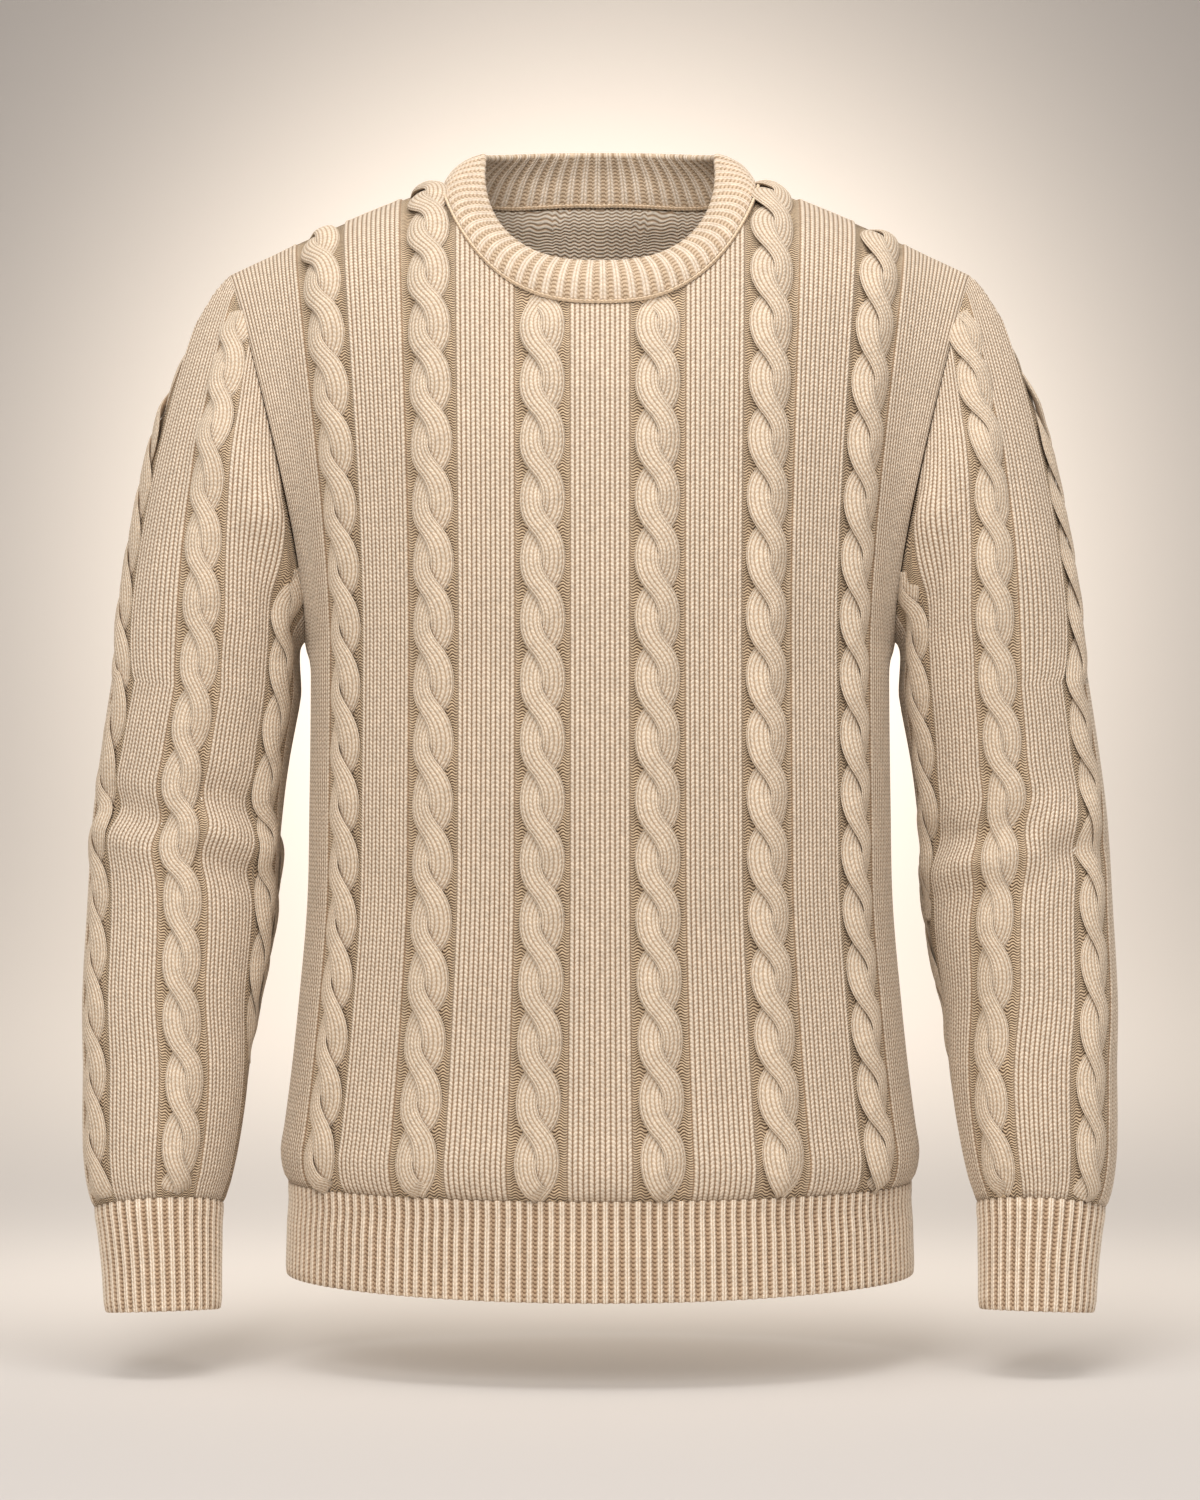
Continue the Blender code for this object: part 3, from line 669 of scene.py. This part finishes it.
def sleeve_pattern(side):
    """The sleeve's net, with the place in the pattern of each point."""
    inner = pattern_columns(2.5, 3.0)
    inner = inner[np.abs(inner) <= 2.0]
    knots = np.linspace(-4, 4, 801)
    armhole_ways = np.array(ARMHOLE_WAYS)
    at_armhole = np.interp(knots, armhole_ways[:, 0], armhole_ways[:, 1])
    at_armhole += np.maximum(knots - 3, 0) * 0.3 + np.minimum(knots + 3, 0) * 0.3
    table = SLEEVE_WAYS[side]

    def arm_ways(z):
        first, second = smooth(table, 1, z), smooth(table, 2, z)
        shift = sum(push * math.exp(-(((z - at) / half) ** 2)) for at, half, push in PINCHES[side])
        return first + shift + (knots - 0.5) * (second - first)

    heights = np.linspace(ARM_TOP_Z, CUFF_TOP_Z, ARM_STEPS + 1)[1:]
    shares = np.linspace(0, 1, CAP_STEPS + 1)
    fine = np.linspace(0, 1, 241)
    top_ways = arm_ways(ARM_TOP_Z)

    def outward(t):
        """How far each point of the front of a ring of the cap lies from its outer line, seen from above."""
        ring = sleeve_cap(fine, np.full(len(fine), t))
        return np.concatenate([[0], np.cumsum(np.hypot(*np.diff(ring[:, :2], axis=0).T))])

    repeat = np.diff(np.interp(np.interp([1.5, 2.5], knots, top_ways), fine, outward(1.0)))[0]
    beyond = np.maximum(knots - 1.5, 0) * repeat
    rows = []
    for t in shares:
        across_cap = at_armhole * (1 - t) + top_ways * t
        for start, power in ((0.5, OUTER_CABLE_BEND), (1.5, FRONT_CABLE_BEND)):
            bent = (1 - t) ** power - (1 - t)
            pull = bent * (np.interp(start, knots, at_armhole) - np.interp(start, knots, top_ways))
            across_cap = across_cap + pull * np.exp(-(((knots - start) / 0.55) ** 2))
        reach = outward(t)
        target = np.interp(np.interp(1.5, knots, across_cap), fine, reach) + beyond
        grain = np.interp(target, reach, fine) + np.maximum(target - reach[-1], 0) / repeat * 0.3
        keep = ease(1.5, 1.6, knots) * (1 - ease(0.7, 1.0, t))
        row = across_cap * (1 - keep) + grain * keep
        rows.append(np.maximum.accumulate(row) + 1e-7 * np.arange(len(row)))
    for z in heights:
        rows.append(arm_ways(z))
    ways, places = [], []
    fill = np.linspace(0, 1, SIDE_COLUMNS + 1)[1:]
    for row in rows:
        middle = np.interp(inner, knots, row)
        front = middle[-1] + (1 - middle[-1]) * fill
        back = middle[0] + (-1 - middle[0]) * fill[:-1]
        way = np.concatenate([back[::-1], middle, front])[::-1]
        ways.append(way)
        places.append(np.interp(way, row, knots))
    ways, places = np.array(ways), np.array(places)
    upper = sleeve_cap(ways[: CAP_STEPS + 1], np.broadcast_to(shares[:, None], ways[: CAP_STEPS + 1].shape))
    z = np.broadcast_to(heights[:, None], ways[CAP_STEPS + 1 :].shape)
    net = np.concatenate([upper, arm_ring(ways[CAP_STEPS + 1 :], z)[0]])
    return net, places


def sleeve(side, name, materials):
    net, places = sleeve_pattern(side)
    net = folded(net, True, LEFT_FOLDS if side == "left" else RIGHT_FOLDS)
    if side == "right":
        net, places = mirrored(net), places[:, ::-1]
    down = length_down(net)
    phases = down - down[CAP_STEPS] + (SLEEVE_CROSSING_Z[side] - ARM_TOP_Z)
    wales = wales_from_cable(places, 2.5)
    height, purl = band_relief(wales, 0.6 * CHANNEL_DEPTH)
    quiet = 1 - 0.6 * ease(2.0, 2.15, np.abs(places)) * (wales > 0)
    height = seamed(height * quiet, down)
    normals = net_normals(net, True)
    rows = fanned(phases, wales, CABLES["sleeve"][0]) / COURSE
    stitches = np.stack([wales, rows], -1)
    outer, inner = net + normals * height[..., None], net - normals * WALL
    made = shell(name, outer, inner, True, stitches, purl, materials)
    made_cables = cables(name + "_cables", net, True, places, CABLE_PLACES, phases,
                         CABLES["sleeve"], [materials[2]])
    return made, made_cables


def rib_places(count, relief=1.0):
    """Places of a ribbed net's columns, in ribs, and their heights over the cloth."""
    steps = np.array(RIB_STEPS)
    places = (np.arange(count)[:, None] + steps).ravel()
    heights = np.tile(RIB_HEIGHTS, count) * relief
    return places, heights


def ribbed(name, net, closed, normals, thickness, heights, places, materials, seam):
    down = length_down(net)
    if seam == "last":
        down = down[-1] - down
    swell = (0.55 + 0.45 * ease(0, 0.005, down)) * (0.25 + 0.75 * ease(0, 0.006, down.max(axis=0) - down))
    relief = heights * swell - 0.0006 * np.exp(-((down / 0.0016) ** 2))
    outer = net + normals * relief[..., None]
    inner = net - normals * (thickness + relief * 0.8)[..., None]
    # The purl recesses between the ribs take the yarn's darker purl colours: painted shade over the recess the
    # geometry already cuts.
    in_rib = np.abs(places - np.floor(places) - 0.5)
    purl = np.broadcast_to(ease(0.24, 0.32, in_rib), net.shape[:2])
    wide = (places - np.floor(places) - 0.5) / 0.56
    stitches = np.stack(np.broadcast_arrays(wide + 0.5 + np.floor(places), down / COURSE), -1)
    return band(name, outer, inner, closed, stitches, purl, materials, "last" if seam == "first" else "first")


def hem(face, name, materials):
    places, heights = rib_places(HEM_RIBS)
    places, heights = np.append(places, HEM_RIBS), np.append(heights, heights[0])
    share, down = np.meshgrid((places / HEM_RIBS * 2 - 1) * -face, np.linspace(0, 1, BAND_STEPS + 1))
    low = HEM_Z - HEM_DIP * np.cos(turn(share)) ** 2
    net = body_ring(face, share, RIB_TOP_Z + (low - RIB_TOP_Z) * down)
    normals = net_normals(net, False)
    return ribbed(name, net, False, normals, WALL, heights, places, materials, "first")


def cuff(side, name, materials):
    places, heights = rib_places(CUFF_RIBS)
    way, z = np.meshgrid(1 - places / CUFF_RIBS * 2, np.linspace(CUFF_TOP_Z, CUFF_Z, BAND_STEPS + 1))
    net = arm_ring(way, z)[0]
    if side == "right":
        net, heights = mirrored(net), heights[::-1]
        places = places[::-1]
    normals = net_normals(net, True)
    return ribbed(name, net, True, normals, WALL, heights, places, materials, "first")


def collar_columns():
    """Face and place of each column round the collar, evenly spread along its middle."""
    fine = np.linspace(-1, 1, 801)
    front = collar(-1, fine, np.full(801, 0.5))
    back = collar(1, -fine, np.full(801, 0.5))
    steps = [np.linalg.norm(np.diff(line, axis=0), axis=1) for line in (front, back)]
    lengths = [np.concatenate([[0], np.cumsum(step)]) for step in steps]
    total = lengths[0][-1] + lengths[1][-1]
    return fine, lengths, total


def neckband(name, materials):
    places, heights = rib_places(COLLAR_RIBS, 0.7)
    fine, lengths, total = collar_columns()
    at = places / COLLAR_RIBS * total
    up = np.linspace(1, 0, BAND_STEPS + 1)
    columns = []
    for where in at:
        if where <= lengths[0][-1]:
            place = np.interp(where, lengths[0], fine)
            columns.append(collar(-1, np.full(len(up), place), up))
        else:
            place = np.interp(where - lengths[0][-1], lengths[1], fine)
            columns.append(collar(1, np.full(len(up), -place), up))
    net = np.stack(columns, 1)
    normals = net_normals(net, True)
    thick = BAND_WALL - (BAND_WALL - WALL) * ease(0.75, 1.0, 1 - up)[:, None]
    return ribbed(name, net, True, normals, thick, heights, places, materials, "last"), net


def yarn_cord(name, path, radius, closed, materials, twists=0.0035, ring=8):
    """A cord of linked yarn laid along a seam."""
    ahead = np.roll(path, -1, axis=0) - np.roll(path, 1, axis=0) if closed else np.gradient(path, axis=0)
    along = unit(ahead)
    side = unit(np.cross(along, [0.0, 0.0, 1.0]))
    up = np.cross(side, along)
    travelled = np.concatenate([[0], np.cumsum(np.linalg.norm(np.diff(path, axis=0), axis=1))])
    around = np.arange(ring) * 2 * np.pi / ring
    bead = 1 + 0.22 * np.cos(2 * np.pi * travelled / twists)
    rings = path[:, None] + radius * bead[:, None, None] * (
        side[:, None] * np.cos(around)[:, None] + up[:, None] * np.sin(around)[:, None])
    rows = len(path)
    number = np.arange(rows * ring).reshape(rows, ring)
    number = np.concatenate([number, number[:, :1]], axis=1)
    if closed:
        number = np.concatenate([number, number[:1]], axis=0)
    quads = np.stack([number[:-1, :-1], number[1:, :-1], number[1:, 1:], number[:-1, 1:]], -1)
    faces = quads.reshape(-1, 4).tolist()
    if not closed:
        faces += [number[0, :-1].tolist(), number[-1, :-1][::-1].tolist()]
    stitches = np.stack(np.broadcast_arrays(np.arange(ring) / ring, travelled[:, None] / COURSE), -1)
    maps = {"stitches": stitches.reshape(-1, 2), "purl": np.zeros(rows * ring)}
    return mesh_object(name, rings.reshape(-1, 3), faces, maps, materials)

# ---------------------------------------------------------------- materials

def linear(hex_colour):
    channels = [int(hex_colour[i : i + 2], 16) / 255 for i in (1, 3, 5)]
    return tuple(c / 12.92 if c <= 0.04045 else ((c + 0.055) / 1.055) ** 2.4 for c in channels) + (1.0,)


def add(tree, kind, inputs=(), out=0, **settings):
    """Adds a node with its settings; each input is a value or another node's socket."""
    made = tree.nodes.new("ShaderNode" + kind)
    for setting, value in settings.items():
        setattr(made, setting, value)
    pairs = inputs.items() if isinstance(inputs, dict) else enumerate(inputs)
    for socket, value in pairs:
        if isinstance(value, bpy.types.NodeSocket):
            tree.links.new(value, made.inputs[socket])
        else:
            made.inputs[socket].default_value = value
    return made.outputs[out]


def yarn(name, face, hollow_shade, purl_face, purl_hollow_shade, bump, fuzz, purl_rows=1.0):
    """Carded cotton and wool yarn, matt and heathered, machine knitted. The eye gets soft legs of yarn in
    columns, painted shade in the gaps between the stitches, purl ridges where the cloth turns its back with
    painted shade in their hollows, and a faint halo of fibre at grazing angles."""
    material = bpy.data.materials.new(name)
    material.use_nodes = True
    tree = material.node_tree
    tree.nodes.clear()
    stitch_map = add(tree, "UVMap", uv_map="Stitches")
    split = tree.nodes.new("ShaderNodeSeparateXYZ")
    tree.links.new(stitch_map, split.inputs[0])
    wale, course = split.outputs[0], split.outputs[1]
    purl = add(tree, "Attribute", out=2, attribute_name="purl")

    # A knit stitch is a V: two legs that slant up and out from the middle of the wale.
    middle = add(tree, "Math", (add(tree, "Math", (wale,), operation="FRACT"), 0.5), operation="SUBTRACT")
    out = add(tree, "Math", (middle,), operation="ABSOLUTE")
    slant = add(tree, "Math", (out, 1.2, course), operation="MULTIPLY_ADD")
    along = add(tree, "Math", (slant, math.tau), operation="MULTIPLY")
    pull_wave = add(tree, "Math", (along,), operation="COSINE")
    pull = add(tree, "Math", (pull_wave, 0.28, 0.72), operation="MULTIPLY_ADD")
    leg_wave = add(tree, "Math", (out, math.tau), operation="MULTIPLY")
    leg = add(tree, "Math", (add(tree, "Math", (leg_wave,), operation="SINE"),), operation="ABSOLUTE")
    knit = add(tree, "Math", (leg, pull), operation="MULTIPLY")

    # A purl stitch is a ridge across the wale, lifted in the middle.
    sway = add(tree, "Math", (add(tree, "Math", (wale, math.tau), operation="MULTIPLY"),), operation="SINE")
    ridge_at = add(tree, "Math", (sway, 0.24, course), operation="MULTIPLY_ADD")
    ridge_wave = add(tree, "Math", (ridge_at, math.pi * purl_rows), operation="MULTIPLY")
    ridge = add(tree, "Math", (add(tree, "Math", (ridge_wave,), operation="SINE"),), operation="ABSOLUTE")

    height = add(tree, "Mix", {"Factor": purl, 2: knit, 3: ridge}, data_type="FLOAT")
    place = add(tree, "TexCoord", out=3)
    fibre = add(tree, "TexNoise", {"Vector": place, "Scale": 900.0, "Detail": 3.0, "Roughness": 0.7})
    heather = add(tree, "TexNoise", {"Vector": place, "Scale": 260.0, "Detail": 3.0, "Roughness": 0.6})
    cloud = add(tree, "TexNoise", {"Vector": place, "Scale": 14.0, "Detail": 2.0})

    # Painted shade: where the knit legs and the purl ridges dip, the colour darkens towards the hollow
    # colours, standing in for the shade in the gaps between stitches.
    depth = add(tree, "MapRange", {"Value": knit, "From Min": 0.08, "From Max": 0.62},
                interpolation_type="SMOOTHSTEP")
    purl_shade_blend = add(tree, "MapRange", {"Value": ridge, "From Min": 0.25, "From Max": 0.98},
              interpolation_type="SMOOTHSTEP")
    knit_colour = add(tree, "Mix", {"Factor": depth, 6: linear(hollow_shade), 7: linear(face)}, out=2,
                      data_type="RGBA")
    purl_colour = add(tree, "Mix", {"Factor": purl_shade_blend, 6: linear(purl_hollow_shade), 7: linear(purl_face)}, out=2,
                      data_type="RGBA")
    # Purl takes its own colours; where these are darker than the knit ones, that is partly the purl's own look
    # and partly painted shade in the channels and rib recesses.
    colour = add(tree, "Mix", {"Factor": purl, 6: knit_colour, 7: purl_colour}, out=2, data_type="RGBA")
    spread = {"From Min": 0.3, "From Max": 0.7}
    flecks = add(tree, "MapRange", {"Value": heather, "To Min": 0.87, "To Max": 1.10, **spread})
    drift = add(tree, "MapRange", {"Value": cloud, "To Min": 0.965, "To Max": 1.03, **spread})
    tone = add(tree, "Math", (flecks, drift), operation="MULTIPLY")
    tinted = add(tree, "VectorMath", {0: colour, "Scale": tone}, operation="SCALE")

    rough = add(tree, "Math", (fibre, 0.35, height), operation="MULTIPLY_ADD")
    raised = add(tree, "Bump", {"Strength": bump, "Distance": 0.0009, "Height": rough})
    shader = tree.nodes.new("ShaderNodeBsdfPrincipled")
    shader.inputs["Roughness"].default_value = 0.92
    shader.inputs["Specular IOR Level"].default_value = 0.22
    shader.inputs["Sheen Weight"].default_value = fuzz
    shader.inputs["Sheen Roughness"].default_value = 0.55
    shader.inputs["Sheen Tint"].default_value = linear("#F4E6D2")
    tree.links.new(tinted, shader.inputs["Base Color"])
    tree.links.new(raised, shader.inputs["Normal"])
    output = tree.nodes.new("ShaderNodeOutputMaterial")
    tree.links.new(shader.outputs[0], output.inputs[0])
    return material


def studio_paper(name, colour, painted_glow, pools):
    """Seamless matt backdrop paper that glows with soft pools of painted light: middle, size along x, y, z,
    strength.
    """
    material = bpy.data.materials.new(name)
    material.use_nodes = True
    tree = material.node_tree
    shader = tree.nodes["Principled BSDF"]
    shader.inputs["Base Color"].default_value = linear(colour)
    shader.inputs["Roughness"].default_value = 0.95
    shader.inputs["Specular IOR Level"].default_value = 0.1
    shader.inputs["Emission Color"].default_value = linear(painted_glow)
    place = add(tree, "TexCoord", out=3)
    total = 0.0
    for middle, size, strength in pools:
        offset = add(tree, "VectorMath", (place, middle), operation="SUBTRACT")
        scaled = add(tree, "VectorMath", (offset, size), operation="DIVIDE")
        away = add(tree, "VectorMath", (scaled, scaled), out=1, operation="DOT_PRODUCT")
        fall = add(tree, "Math", (math.exp(-1), away), operation="POWER")
        total = add(tree, "Math", (fall, strength, total), operation="MULTIPLY_ADD")
    # Painted light: the paper emits these pools itself; no lamp lights them.
    tree.links.new(total, shader.inputs["Emission Strength"])
    material.cycles.emission_sampling = "NONE"
    return material

# ---------------------------------------------------------------- the garment

# The second and fourth colours of each yarn are painted shade for the gaps between stitches and the hollows
# between purl ridges.
face_yarn = yarn("stocking_stitch_cotton_wool", "#DACAB6", "#8C7055", "#D2B999", "#523822", 0.9, 0.25, 1.6)
# Painted light: the inside yarn is coloured lighter than the face yarn, standing in for light that does not
# reach the shaded inside of the neck.
inside_yarn_painted_lighter = yarn("purl_back_cotton_wool_painted_lighter", "#F5E8D6", "#CDB59B", "#F6EAD8", "#C0A284", 0.9, 0.15)
cable_yarn = yarn("twisted_cable_cotton_wool", "#D5C6B2", "#AE9479", "#D5C6B2", "#AE9479", 0.7, 0.25)
rib_yarn = yarn("one_by_one_rib_cotton_wool", "#E9DBC8", "#C0A68C", "#B79D82", "#7D6249", 0.6, 0.25)
collar_yarn = yarn("collar_rib_cotton_wool", "#DACBB9", "#BDA68D", "#C6B096", "#9B8267", 0.6, 0.25)
seam_yarn = yarn("linking_yarn_cotton_wool", "#D8C3A8", "#A78C6F", "#D8C3A8", "#A78C6F", 0.5, 0.2)

cloth_materials = [face_yarn, inside_yarn_painted_lighter, cable_yarn]
front, front_cables = panel(-1, "front_knit", cloth_materials)
back, back_cables = panel(1, "back_knit", cloth_materials)
left, left_cables = sleeve("left", "sleeve_left_knit", cloth_materials)
right, right_cables = sleeve("right", "sleeve_right_knit", cloth_materials)
collar_band, collar_net = neckband("neckband_rib", [collar_yarn])
hem_front = hem(-1, "hem_rib_front_knit", [rib_yarn])
hem_back = hem(1, "hem_rib_back_knit", [rib_yarn])
cuff_left = cuff("left", "cuff_left_rib", [rib_yarn])
cuff_right = cuff("right", "cuff_right_rib", [rib_yarn])

seam_row = collar_net[-1]
seam_normals = net_normals(collar_net, True)[-1]
inner_row = seam_row - seam_normals * (WALL + INNER_LINK_RISE)
outer_row = seam_row + seam_normals * OUTER_LINK_RISE
inner_linking = yarn_cord("neck_linking_inside", inner_row, INNER_LINK_RADIUS, True, [seam_yarn])
linking = yarn_cord("neck_linking", outer_row, OUTER_LINK_RADIUS, True, [seam_yarn])

for piece, node, slot_name in (
    (front, "front_panel", "cable_knit"), (back, "back_panel", "cable_knit"),
    (left, "sleeve_left", "cable_knit"), (right, "sleeve_right", "cable_knit"),
    (collar_band, "neckband", "rib_knit"), (hem_front, "hem_rib_front", "rib_knit"),
    (hem_back, "hem_rib_back", "rib_knit"), (cuff_left, "cuff_left", "rib_knit"),
    (cuff_right, "cuff_right", "rib_knit"),
):
    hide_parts(node)

# ---------------------------------------------------------------- studio

FLOOR_Z = -0.742
STAGE = ((0.0, FLOOR_Z), (1.6, FLOOR_Z), (2.5, FLOOR_Z + 0.03), (3.3, FLOOR_Z + 0.13), (4.0, FLOOR_Z + 0.36),
         (4.5, FLOOR_Z + 0.75), (4.85, FLOOR_Z + 1.4), (5.0, FLOOR_Z + 2.3), (5.0, FLOOR_Z + 5.0))


# Painted light glowing from the backdrop paper: a glow on the wall behind the garment, a brighter floor behind
# it, and a pool at y 0.35 that lifts the garment's shadow on the floor.
PAINTED_LIGHT_POOLS = (  # middle, size, strength
    ((0.0, 5.0, 0.0), (0.78, 3.2, 0.85), 1.6),
    ((0.0, 2.4, FLOOR_Z), (0.95, 1.4, 1.2), 0.40),
    ((0.0, 0.35, FLOOR_Z), (0.62, 0.40, 1.0), 0.38),
)


def studio_bowl():
    """A round floor that turns up into a wall on every side."""
    around = 96
    points, faces = [(0.0, 0.0, FLOOR_Z)], []
    for radius, height in STAGE[1:]:
        turns = [math.tau * i / around for i in range(around)]
        points += [(radius * math.cos(turn_by), radius * math.sin(turn_by), height) for turn_by in turns]
    faces += [(0, 1 + i, 1 + (i + 1) % around) for i in range(around)]
    for row in range(len(STAGE) - 2):
        low, high = 1 + row * around, 1 + (row + 1) * around
        faces += [(low + i, high + i, high + (i + 1) % around, low + (i + 1) % around)
                  for i in range(around)]
    mesh = bpy.data.meshes.new("studio_floor")
    mesh.from_pydata(points, [], faces)
    mesh.shade_smooth()
    mesh.materials.append(studio_paper("backdrop_paper", "#C4C0BD", "#FFEFDC", PAINTED_LIGHT_POOLS))
    obj = bpy.data.objects.new("studio_floor", mesh)
    bpy.context.scene.collection.objects.link(obj)
    smoother = obj.modifiers.new("smooth", "SUBSURF")
    smoother.levels = smoother.render_levels = 2


def softbox(name, place, target, size, power, colour):
    data = bpy.data.lights.new(name, "AREA")
    data.shape = "RECTANGLE"
    data.size, data.size_y = size
    data.energy = power
    data.color = linear(colour)[:3]
    obj = bpy.data.objects.new(name, data)
    obj.location = place
    obj.rotation_euler = (Vector(target) - Vector(place)).to_track_quat("-Z", "Y").to_euler()
    obj.visible_camera = False
    bpy.context.scene.collection.objects.link(obj)


studio_bowl()
softbox("key", (-0.9, -2.6, 1.5), (0, 0, -0.35), (1.6, 1.6), 50, "#FFFCF9")
softbox("fill", (1.6, -2.4, 0.4), (0, 0, -0.4), (1.4, 1.8), 25, "#FFFEFD")
softbox("front", (0.0, -3.2, 0.15), (0, 0, -0.2), (1.2, 1.2), 11, "#FFFCF9")
softbox("low", (-1.6, -2.2, -0.45), (0, 0, -0.5), (0.8, 0.8), 10, "#FFFBF4")
softbox("top", (0.0, -0.5, 1.6), (0, 0, -0.2), (1.6, 1.0), 26, "#FFFCF8")

world = bpy.data.worlds.new("studio_air")
world.use_nodes = True
world.node_tree.nodes["Background"].inputs["Color"].default_value = linear("#F1EDEA")
world.node_tree.nodes["Background"].inputs["Strength"].default_value = 0.55
bpy.context.scene.world = world
bpy.context.scene.view_settings.view_transform = "Standard"

camera_data = bpy.data.cameras.new("camera")
camera_data.sensor_fit = "AUTO"
camera_data.sensor_width = 36
CAMERA_DISTANCE, FIELD_HEIGHT = 2.6, 0.945
camera_data.lens = 36 * CAMERA_DISTANCE / FIELD_HEIGHT
camera = bpy.data.objects.new("camera", camera_data)
camera.location = (0, -CAMERA_DISTANCE, -0.357)
camera.rotation_euler = (math.pi / 2, 0, 0)
bpy.context.scene.collection.objects.link(camera)
bpy.context.scene.camera = camera
